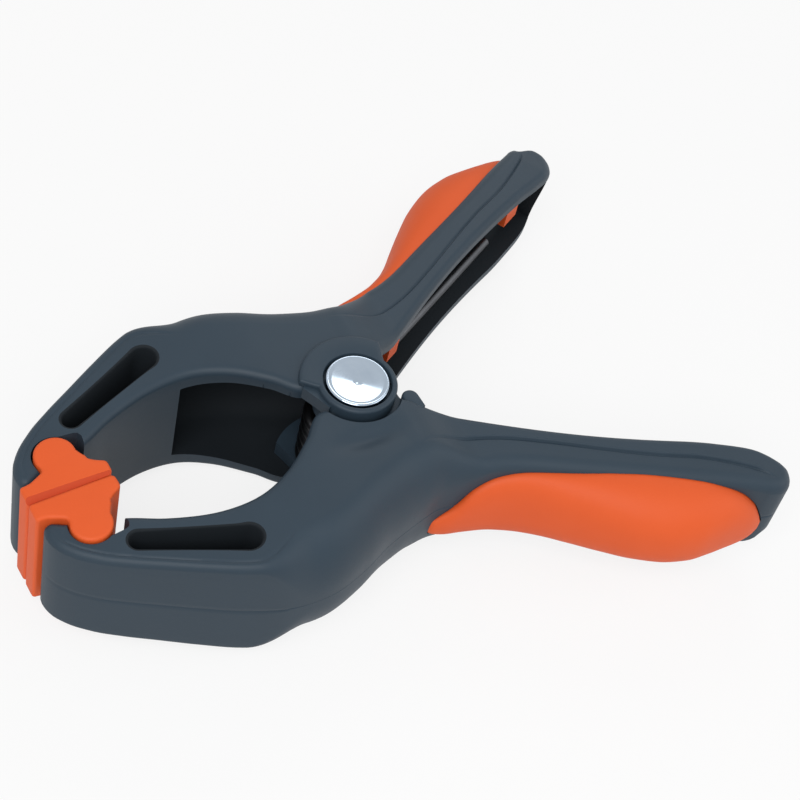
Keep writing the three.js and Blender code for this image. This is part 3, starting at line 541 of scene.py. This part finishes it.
def jaw_slot(sign):
    """A tapered round-ended slot, sunk from the arm's face nearly to its middle; its mouth is
    flared by a small radius that follows the face. sign is 1 above and -1 below."""
    run = SLOT_ROOT - SLOT_TIP
    heading = math.degrees(math.atan2(run[1], run[0]))
    lean = math.degrees(math.asin((SLOT_ROOT_RADIUS - SLOT_TIP_RADIUS) / np.linalg.norm(run)))

    def outline(grow):
        return np.concatenate([
            arc(SLOT_ROOT, SLOT_ROOT_RADIUS + grow, heading - 90 - lean, heading + 90 + lean, 22),
            arc(SLOT_TIP, SLOT_TIP_RADIUS + grow, heading + 90 + lean, heading + 270 - lean, 18),
        ])
    rings = [np.column_stack([outline(-0.15), np.full(40, SLOT_FLOOR)])]
    for turn in np.linspace(0, math.pi / 2, 5):
        plan = outline(SLOT_MOUTH * (1 - math.cos(turn)))
        face = smooth(HALF_HEIGHT, plan[:, 0])
        rings.append(np.column_stack([plan, face - SLOT_MOUTH + SLOT_MOUTH * math.sin(turn)]))
    rings.append(np.column_stack([outline(SLOT_MOUTH), np.full(40, 22.0)]))
    rings = np.array(rings) * np.array([1, 1, sign])
    return solid("jaw_slot", rings[::sign])


def grip_rings(margin, arc_steps=36, rows=90):
    """D-shaped sections along the handle: flat inside the wall, and outside it a swell whose
    outward share is a power of the cosine and whose height a power of the sine of one angle."""
    first, last = GRIP[0, 0], GRIP[-1, 0]
    s = first + (last - first) * (0.5 - 0.5 * np.cos(np.linspace(0.0, math.pi, rows)))
    swell, low, high = (smooth(GRIP[:, [0, k]], s) for k in (1, 2, 3))
    wall = smooth(OUTER_WALL, s)
    centre, half = (low + high) / 2, (high - low) / 2 + margin
    a = np.linspace(math.pi / 2, -math.pi / 2, arc_steps)
    out = wall[:, None] - 0.1 + (swell[:, None] + 0.6 * margin) * np.abs(np.cos(a)) ** 0.9
    up = half[:, None] * np.sign(np.sin(a)) * np.abs(np.sin(a)) ** 0.85
    t = np.concatenate([(wall - 1.2 - margin)[:, None].repeat(2, 1), out], 1)
    z = np.concatenate([-half[:, None], half[:, None], up], 1) + centre[:, None]
    place = s + margin * np.sign(s - GRIP_MIDDLE)
    plan = on_handle(place[:, None], t)
    return np.concatenate([plan, z[..., None]], -1)


def window(s, half, low, high, margin):
    """A block through the handle's web at a place along it."""
    a, b, z = s - half - margin, s + half + margin, WINDOW_HALF_HEIGHT + margin
    outline = [on_handle(a, low), on_handle(b, low), on_handle(b, high), on_handle(a, high)]
    return prism("window", outline, -z, z)


def shape_end(mesh):
    """The handle's end differs above and below: above, its inner corner is drawn out nearly
    square and its outer corner drawn in; below, the inner corner is drawn in. Each pull is a
    product of smooth steps in height and along the handle, and fades away from its corner."""
    place = np.zeros(len(mesh.vertices) * 3, np.float32)
    mesh.vertices.foreach_get("co", place)
    x, y, z = place.reshape(-1, 3).T / MM
    s, t = handle_place(np.stack([x, y], -1))
    above = step(-9, 9, z)
    near = np.clip(1 - (t - INNER_EDGE_T) / (PULL_FADE_T - INNER_EDGE_T), 0, 1)
    t_new = (t - PULL_ABOVE * above * step(82, 91, s) * near
             + PULL_BELOW * (1 - above) * step(68, 88, s) * near)
    corner = bell(t, PULL_OUTER_T, PULL_OUTER_WIDTH) * step(5.5, 9, z) * step(84, 91, s)
    plan = on_handle(s - PULL_OUTER * corner, t_new)
    mesh.vertices.foreach_set("co", (np.column_stack([plan, z]) * MM).astype(np.float32).ravel())
    mesh.update()


def arm_mesh():
    """The whole arm: its body, less the hollow, the slots, the pad's socket and the grip's seat,
    with the boss, the inner ear, the collar and the stop joined on."""
    pocket = turned("pocket", [
        (0, -BEYOND), (SADDLE_RADIUS + 0.9, -BEYOND), (SADDLE_RADIUS + 0.9, -16.9),
        (SADDLE_RADIUS + 0.25, -16.5), (SADDLE_RADIUS, -15.8), (SADDLE_RADIUS, EAR_UNDERSIDE),
        (0, EAR_UNDERSIDE)])
    socket = prism("socket", np.concatenate([
        arc(PAD_CENTRE, SOCKET_RADIUS, 60, 225, 28),
        [(PAD_CENTRE[0] - 3.92, 0), (SHELF_END_X - 0.2, 0), (SHELF_END_X, SHELF_Y - 1.2),
         (SHELF_END_X - 0.4, SHELF_Y - 0.3), (SHELF_END_X - 1.2, SHELF_Y)],
    ]), -BEYOND, BEYOND)
    boss = turned("boss", [
        (0, EAR_UNDERSIDE), (BOSS_RADIUS - 0.3, EAR_UNDERSIDE), (BOSS_RADIUS, EAR_UNDERSIDE + 0.3),
        *quarter(BOSS_RADIUS, BOSS_TOP, BOSS_SOFT), (0, BOSS_TOP)])
    plateau = prism("plateau", np.concatenate([
        arc((0, 0), PLATEAU_RADIUS, 39, 159, 50), arc((0, 0), 8.0, 170, 250, 4),
        arc((0, 0), 8.0, 300, 378, 4)]), EAR_UNDERSIDE, BOSS_TOP, PLATEAU_SOFT, 5)
    gusset = prism("gusset", [(-10.7, 3.1), (-9.35, 0.1), (-8.06, -3.27), (0, 0), (-4, 8)],
                   EAR_UNDERSIDE, GUSSET_TOP)
    root_arc = arc((0, 0), ROOT_RADIUS, 45, 135, 20)
    ear = prism("ear", np.concatenate([
        arc((0, 0), BOSS_RADIUS, 180, 360, 40), [(BOSS_RADIUS, 4)], root_arc, [(-BOSS_RADIUS, 4)],
    ]), *INNER_EAR)
    root = prism("root", np.concatenate([arc((0, 0), SADDLE_RADIUS, 150, 40, 20), root_arc]),
                 ROOT_LOW, INNER_EAR[1])
    collar = turned("collar", [(0, -10.5), (COLLAR_RADIUS, -10.5), (COLLAR_RADIUS, -0.5),
                               (COLLAR_RADIUS - 0.3, -0.2), (0, -0.2)])
    nub = prism("nub", np.concatenate([arc((9.6, 5.8), 1.8, 180, 360, 16),
                                       [(11.4, 8.8), (7.8, 10.3)]]), -15.0, INNER_EAR[1], 0.6)
    bore = turned("bore", [
        (0, -BEYOND), (BORE_RADIUS, -BEYOND), (BORE_RADIUS, BEYOND), (0, BEYOND)])
    recess = turned("recess", [
        (0, RECESS_FLOOR), (RECESS_RADIUS, RECESS_FLOOR), (RECESS_RADIUS, BOSS_TOP - 0.35),
        (RECESS_RADIUS + 0.1, BOSS_TOP - 0.1), (RECESS_RADIUS + 0.35, BOSS_TOP + 0.02),
        (RECESS_RADIUS + 0.35, BEYOND), (0, BEYOND)])
    seat = solid("seat", grip_rings(GRIP_GAP))
    cut, add = "DIFFERENCE", "UNION"
    steps = [(cut, channel_hollow()), (cut, jaw_slot(1)), (cut, jaw_slot(-1)), (cut, socket),
             (add, plateau), (cut, pocket), (add, boss), (add, gusset), (add, ear), (add, root),
             (add, collar), (add, nub), (cut, bore), (cut, recess), (cut, seat)]
    steps += [(cut, window(s, half, OUTER_T - WALL - 2, OUTER_T + 4, WINDOW_GAP))
              for s, half, _ in WINDOWS]
    mesh = carve("arm", arm_body(), steps)
    mesh.flip_normals()    # the cuts leave this mesh's faces pointing in
    shape_end(mesh)
    return mesh


# ---------------------------------------------------------------- grip, pad


def grip_mesh():
    """The grip with the two bosses that pass through the handle's web."""
    base = solid("grip_body", grip_rings(0))
    bosses = [("UNION", window(s, half, OUTER_T - WALL - proud, OUTER_T - 0.4, 0))
              for s, half, proud in WINDOWS]
    return carve("grip", base, bosses)


def pad_mesh():
    """A jaw pad: an upright bar along the jaw's tip with a round lobe that turns in its socket.
    Its outline is dense all round, so that its edges can be rounded by moving it inwards."""
    corners = np.concatenate([
        [(-69.7, 0.15), (-53.7, 0.15)], arc((-53.7, 1.05), 0.9, -80, 0, 5), [(-52.75, 2.6)],
        arc((-53.75, 2.7), 1.0, 0, 70, 5), [(-54.8, 4.4), (-55.9, 5.3)],
        arc((-54.9, 7.5), 1.75, 235, 190, 4), arc(PAD_CENTRE, LOBE_RADIUS, -8, 206, 40),
        [(-64.95, 5.85), (-65.7, 5.4), (-67.9, 4.35), (-69.3, 4.15)],
        arc((-69.6, 3.6), 0.6, 90, 180, 5), [(-70.2, 0.55)],
    ])
    loop = np.concatenate([corners, corners[:1]])
    length = np.concatenate([[0], np.cumsum(np.linalg.norm(np.diff(loop, axis=0), axis=1))])
    at = np.linspace(0, length[-1], 221)[:-1]
    outline = np.stack([np.interp(at, length, loop[:, k]) for k in (0, 1)], -1)
    for _ in range(2):
        outline = 0.5 * outline + 0.25 * (np.roll(outline, 1, 0) + np.roll(outline, -1, 0))

    ends = np.array([-70.2, -52.7])
    end_heights = smooth(HALF_HEIGHT, ends) + PAD_PROUD

    def high(plan):
        return np.interp(plan[:, 0], ends, end_heights)
    pad = prism("pad", outline, lambda plan: -high(plan), high, PAD_SOFT, 6)
    # the bevel along the pad's upper gripping edge, wide at the tip and narrow at the root; its
    # faces carry painted shade
    bevel = [[(x, -2, z + 2), (x, -2, z - 2.2 - wide), (x, 0.15 + wide, z + 0.02),
              (x, 0.15 + wide, z + 2)]
             for x, z, wide in ((-72.0, end_heights[0], 1.5), (-51.0, end_heights[1], 0.55))]
    return carve("pad", pad, [("DIFFERENCE", solid("seam_bevel", bevel))])


# ---------------------------------------------------------------- rivet, spring


def head_profile():
    """Radius and height of the dished head from its edge inwards: a rounded rim, a short slope,
    a hollow cone of one slope and a small mark in its middle."""
    radius = np.linspace(DISH_RADIUS, 0.9, 14)
    dish = np.column_stack([radius, BOSS_TOP - 0.2 - DISH_SLOPE * (DISH_RADIUS - radius)])
    floor = dish[-1, 1]
    mark = [(0.6, floor - 0.06), (0.3, floor - 0.16), (0, floor - 0.18)]
    rim = quarter(HEAD_RADIUS, BOSS_TOP, HEAD_SOFT)
    return [*rim, (5.8, BOSS_TOP - 0.03), *dish.tolist(), *mark]


def rivet_mesh():
    """The rivet: head, shank and the spigot that its cap is pressed on."""
    foot = -HEAD_UNDERSIDE
    return mesh_of(turned("rivet", [
        (0, foot - 1.2), (SPIGOT_RADIUS - 0.3, foot - 1.2), (SPIGOT_RADIUS, foot - 0.9),
        (SPIGOT_RADIUS, foot + 0.3), (SHANK_RADIUS, foot + 0.3), (SHANK_RADIUS, HEAD_UNDERSIDE),
        (HEAD_RADIUS - 0.3, HEAD_UNDERSIDE), (HEAD_RADIUS, HEAD_UNDERSIDE + 0.3),
        *head_profile()]))


def cap_mesh():
    """The cap on the rivet's lower end: the same dished face with a bore for the spigot."""
    bore = SPIGOT_RADIUS + 0.3
    face = [p for p in head_profile() if p[0] > bore + 0.2]
    inmost = face[-1][1]
    return half_turn(mesh_of(turned("cap", [
        (bore, HEAD_UNDERSIDE), (HEAD_RADIUS - 0.3, HEAD_UNDERSIDE),
        (HEAD_RADIUS, HEAD_UNDERSIDE + 0.3), *face, (bore + 0.15, inmost - 0.02),
        (bore, inmost - 0.15)], hollow=True)))


def spring_mesh():
    """A round wire carried along a leg, a coil of four turns and a part, and the other leg; the
    coil is a helix, clockwise and downwards, and the legs leave it as tangents."""
    wire, coil, pitch, leg, whole_turns = 1.4, 8.1, 3.15, 74.0, 4
    seat = OUTER_T - WALL - 0.3 - wire
    angle = HANDLE_ANGLE + math.asin((seat - coil) / leg)
    start = -(angle + math.pi / 2)
    total = 2 * math.pi * whole_turns + 2 * math.pi - 2 * (angle + math.pi / 2)
    rise = pitch * total / (2 * math.pi)
    w = np.linspace(0, 1, 260)
    a = start - total * w
    helix = np.stack([coil * np.cos(a), coil * np.sin(a), rise / 2 - rise * w], -1)
    run = leg * np.concatenate([[0, 0.004], np.linspace(0.02, 0.98, 40), [1.0]])[:, None]
    ahead = np.array([math.cos(angle), math.sin(angle), 0])
    back = np.array([math.cos(angle), -math.sin(angle), 0])
    path = np.concatenate([(helix[0] + run * back)[:0:-1], helix, helix[-1] + run[1:] * ahead])
    heading = np.gradient(path, axis=0)
    heading /= np.linalg.norm(heading, axis=1)[:, None]
    side = np.cross(heading, [0, 0, 1.0])
    side /= np.linalg.norm(side, axis=1)[:, None]
    high = np.cross(side, heading)
    turns = np.arange(20)[:, None] * 2 * math.pi / 20
    rings = path[:, None] + wire * (np.cos(turns) * side[:, None] + np.sin(turns) * high[:, None])
    soft = 0.25
    first = path[:1, None] + (rings[:1] - path[:1, None]) * (1 - soft / wire)
    last = path[-1:, None] + (rings[-1:] - path[-1:, None]) * (1 - soft / wire)
    rings[0] += soft * heading[0]
    rings[-1] -= soft * heading[-1]
    return mesh_of(solid("spring", np.concatenate([first, rings, last]), 0.001))


# ---------------------------------------------------------------- materials


class Wire:
    """A socket in a node tree: sums, products and powers of wires and numbers make Math nodes."""

    def __init__(self, tree, socket):
        self.tree, self.socket = tree, socket

    def join(self, operation, *inputs):
        node = self.tree.nodes.new("ShaderNodeMath")
        node.operation = operation
        for place, value in zip(node.inputs, inputs):
            if isinstance(value, Wire):
                self.tree.links.new(value.socket, place)
            else:
                place.default_value = value
        return Wire(self.tree, node.outputs[0])

    def output(self, number):
        """Another output of the same node."""
        return Wire(self.tree, self.socket.node.outputs[number])

    def __add__(self, other):
        return self.join("ADD", self, other)

    __radd__ = __add__

    def __mul__(self, other):
        return self.join("MULTIPLY", self, other)

    def __pow__(self, other):
        return self.join("POWER", self, other)


class Finish:
    """The node tree of a material or the world being made, and a way to add nodes."""

    def __init__(self, owner):
        owner.use_nodes = True
        self.owner, self.tree = owner, owner.node_tree
        self.tree.nodes.clear()

    def node(self, kind, settings=None, inputs=None, output=0):
        node = self.tree.nodes.new(kind)
        for name, value in (settings or {}).items():
            setattr(node, name, value)
        for name, value in (inputs or {}).items():
            if isinstance(value, Wire):
                self.tree.links.new(value.socket, node.inputs[name])
            else:
                node.inputs[name].default_value = value
        return Wire(self.tree, node.outputs[output]) if len(node.outputs) else None

    def place(self):
        """Object coordinates."""
        return self.node("ShaderNodeTexCoord", output=3)

    def inside(self):
        """1 on faces deep inside, which the finishes paint in shade, else 0."""
        return self.node("ShaderNodeAttribute", {"attribute_name": "inside"}, output=2)

    def in_view(self):
        """1 for what the camera sees, directly or by gloss or through glass, else 0."""
        camera_ray = self.node("ShaderNodeLightPath")
        seen = camera_ray + camera_ray.output(3) + camera_ray.output(6)
        return seen.join("MINIMUM", seen, 1.0)

    def noise(self, place, scale, detail=3.0):
        return self.node("ShaderNodeTexNoise", inputs={
            "Vector": place, "Scale": scale, "Detail": detail, "Roughness": 0.55})

    def shades(self, factor, low, high):
        """From one colour to another, each a wire or three numbers."""
        low, high = (c if isinstance(c, Wire) else (*c, 1) for c in (low, high))
        return self.node("ShaderNodeMix", {"data_type": "RGBA"}, {0: factor, 6: low, 7: high}, 2)

    def bump(self, height, strength, distance, normal=None):
        inputs = {"Height": height, "Strength": strength, "Distance": distance}
        if normal:
            inputs["Normal"] = normal
        return self.node("ShaderNodeBump", inputs=inputs)

    def surface(self, inputs):
        shader = self.node("ShaderNodeBsdfPrincipled", inputs=inputs)
        self.node("ShaderNodeOutputMaterial", inputs={"Surface": shader})
        return self.owner


def new_finish(name):
    """The tree of a new material."""
    return Finish(bpy.data.materials.new(name))


def nylon():
    """Moulded slate nylon: a satin skin with a fine grain and faint cloudy flow marks, and painted
    shade that makes it nearly black deep inside."""
    f = new_finish("slate_nylon")
    place = f.place()
    cloud = f.noise(place, 55, 4)
    grain = f.noise(place, 2600, 2)
    orange_peel = f.noise(place, 420, 2)
    inside = f.inside()
    colour = f.shades(cloud * 0.8 + grain * 0.2, (0.021, 0.036, 0.052), (0.031, 0.050, 0.070))
    # painted shade: faces deep in the hollow and the slots are darkened nearly to black
    colour = f.shades(inside * 0.85, colour, (0.004, 0.005, 0.006))
    rough = 0.40 + cloud * 0.10 + grain * 0.10 + inside * 0.3
    normal = f.bump(grain, 0.18, 0.00006, f.bump(orange_peel, 0.10, 0.0002))
    return f.surface({"Base Color": colour, "Roughness": rough, "Normal": normal,
                      "Specular IOR Level": 0.25})


def rubber(name, low, high):
    """Soft orange moulding: matte, with a close fine grain and slightly uneven tone, and painted
    shade that makes it darker and redder on the bevel along the pads' seam."""
    f = new_finish(name)
    place = f.place()
    cloud = f.noise(place, 70, 4)
    grain = f.noise(place, 3200, 2)
    colour = f.shades(cloud * 0.7 + grain * 0.3, low, high)
    # painted shade: the bevel along the pads' seam is darkened to a deep red
    colour = f.shades(f.inside() * 0.6, colour, (0.40, 0.026, 0.006))
    rough = 0.52 + grain * 0.16
    normal = f.bump(grain, 0.25, 0.00007, f.bump(cloud, 0.15, 0.0004))
    return f.surface({"Base Color": colour, "Roughness": rough, "Normal": normal,
                      "Specular IOR Level": 0.35})


def polished_steel():
    """Polished steel with faint rings from turning, read from the distance to the rivet's axis."""
    f = new_finish("polished_steel")
    place = f.place()
    x = f.node("ShaderNodeSeparateXYZ", inputs={"Vector": place})
    y = x.output(1)
    radius = (x * x + y * y) ** 0.5
    rings = f.noise(f.node("ShaderNodeCombineXYZ", inputs={"X": radius}), 5200, 2)
    smear = f.noise(place, 260, 3)
    colour = f.shades(smear, (0.34, 0.41, 0.49), (0.43, 0.50, 0.58))
    rough = 0.07 + smear * 0.05 + rings * 0.04
    normal = f.bump(rings, 0.12, 0.00003)
    return f.surface({"Base Color": colour, "Roughness": rough, "Normal": normal, "Metallic": 1.0})


def spring_steel():
    """Drawn wire, oiled dark: fine streaks and patches, and a soft shine."""
    f = new_finish("spring_steel")
    place = f.place()
    streak = f.noise(place, 900, 4)
    patch = f.noise(place, 120, 3)
    colour = f.shades(patch, (0.055, 0.057, 0.062), (0.105, 0.11, 0.12))
    rough = 0.26 + streak * 0.16
    normal = f.bump(streak, 0.15, 0.00005)
    return f.surface({"Base Color": colour, "Roughness": rough, "Normal": normal, "Metallic": 1.0})


# ---------------------------------------------------------------- pieces

nylon_finish = nylon()
grip_finish = rubber("grip_rubber", (0.67, 0.088, 0.015), (0.76, 0.110, 0.021))
pad_finish = rubber("pad_rubber", (0.69, 0.091, 0.015), (0.78, 0.115, 0.023))
steel_finish = polished_steel()
wire_finish = spring_steel()

arm = arm_mesh()
piece("front_arm_moulding", half_turn(arm), "front_arm", "front_arm", nylon_finish)
piece("rear_arm_moulding", arm, "rear_arm", "rear_arm", nylon_finish)
grip = grip_mesh()
piece("front_grip_cover", half_turn(grip), "front_arm", "front_grip",
      grip_finish, 45)
piece("rear_grip_cover", grip, "rear_arm", "rear_grip", grip_finish, 45)
pad = pad_mesh()
piece("front_pad_moulding", half_turn(pad), "front_pad", "front_jaw_pad",
      pad_finish, 34)
piece("rear_pad_moulding", pad, "rear_pad", "rear_jaw_pad", pad_finish, 34)
piece("rivet", rivet_mesh(), "front_arm", "pivot_pin", steel_finish)
piece("rivet_cap", cap_mesh(), "front_arm", "pivot_cap", steel_finish)
spring = piece("spring_wire", spring_mesh(), None, "torsion_spring",
               wire_finish, 40)
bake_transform(spring)

# ---------------------------------------------------------------- floor, light, camera

FLOOR_Z = -BOSS_TOP * MM
FLOOR_CORNERS = [(-3, -3), (3, -3), (3, 3), (-3, 3)]    # metres


def background(world):
    """White for what the camera and gloss see, and a soft grey as light."""
    f = Finish(world)
    level = f.in_view() * 0.68 + 0.32
    ground = f.node("ShaderNodeBackground", inputs={"Color": (1, 1, 1, 1), "Strength": level})
    f.node("ShaderNodeOutputWorld", inputs={"Surface": ground})


def floor_finish():
    """Pale ground that the camera sees as nearly white, and that keeps a faint shadow."""
    f = new_finish("pale_ground")
    tone = f.noise(f.place(), 3)
    pale = f.shades(tone, (0.80, 0.80, 0.80), (0.83, 0.83, 0.83))
    paint = f.node("ShaderNodeBsdfDiffuse", inputs={"Color": pale})
    glow = f.node("ShaderNodeEmission", inputs={"Color": (1, 1, 1, 1), "Strength": 1.0})
    mixed = f.node("ShaderNodeMixShader", inputs={0: f.in_view() * 0.82, 1: paint, 2: glow})
    f.node("ShaderNodeOutputMaterial", inputs={"Surface": mixed})
    return f.owner


def stand(thing, right, up, back, place):
    """Places and turns an object by its three directions; place in metres."""
    rows = [[right[k], up[k], back[k], place[k]] for k in range(3)]
    thing.matrix_world = Matrix(rows + [[0, 0, 0, 1]])


def lamp(name, place, power, size):
    """A square soft lamp at a place in metres, aimed at the rivet."""
    data = bpy.data.lights.new(name, "AREA")
    data.energy, data.size = power, size
    back = np.array(place) / np.linalg.norm(place)
    right = np.cross([0, 0, 1.0], back)
    right /= np.linalg.norm(right)
    stand(linked(name, data), right, np.cross(back, right), back, place)


world = bpy.data.worlds.new("studio")
bpy.context.scene.world = world
background(world)

ground_mesh = bpy.data.meshes.new("ground")
ground_mesh.from_pydata([(x, y, FLOOR_Z) for x, y in FLOOR_CORNERS], [], [(0, 1, 2, 3)])
ground_mesh.materials.append(floor_finish())
ground = linked("ground", ground_mesh)

lamp("key", (-0.50, -0.45, 0.85), 8.6, 0.7)
lamp("fill", (0.7, -0.5, 0.5), 2.6, 0.8)
lamp("rim", (0.56, 0.64, 0.70), 1.3, 0.35)

# the camera: focal length in pixels of a picture so wide, sensor, place, and its directions
FOCAL_PIXELS, FRAME_PIXELS, SENSOR = 1943.97, 800, 36.0
CAMERA_PLACE = np.array([-160.508, -193.291, 313.357])
CAMERA_RIGHT = np.array([0.85467878, -0.48974290, 0.17226747])
CAMERA_DOWN = np.array([-0.29178998, -0.72760336, -0.62084777])
CAMERA_AHEAD = np.array([0.42939818, 0.48035949, -0.76476923])
camera_data = bpy.data.cameras.new("camera")
camera_data.sensor_width = SENSOR
camera_data.lens = SENSOR * FOCAL_PIXELS / FRAME_PIXELS
camera_data.clip_start, camera_data.clip_end = 0.01, 20.0
camera = linked("camera", camera_data)
stand(camera, CAMERA_RIGHT, -CAMERA_DOWN, -CAMERA_AHEAD, CAMERA_PLACE * MM)
bpy.context.scene.camera = camera
bpy.context.scene.view_settings.view_transform = "Standard"
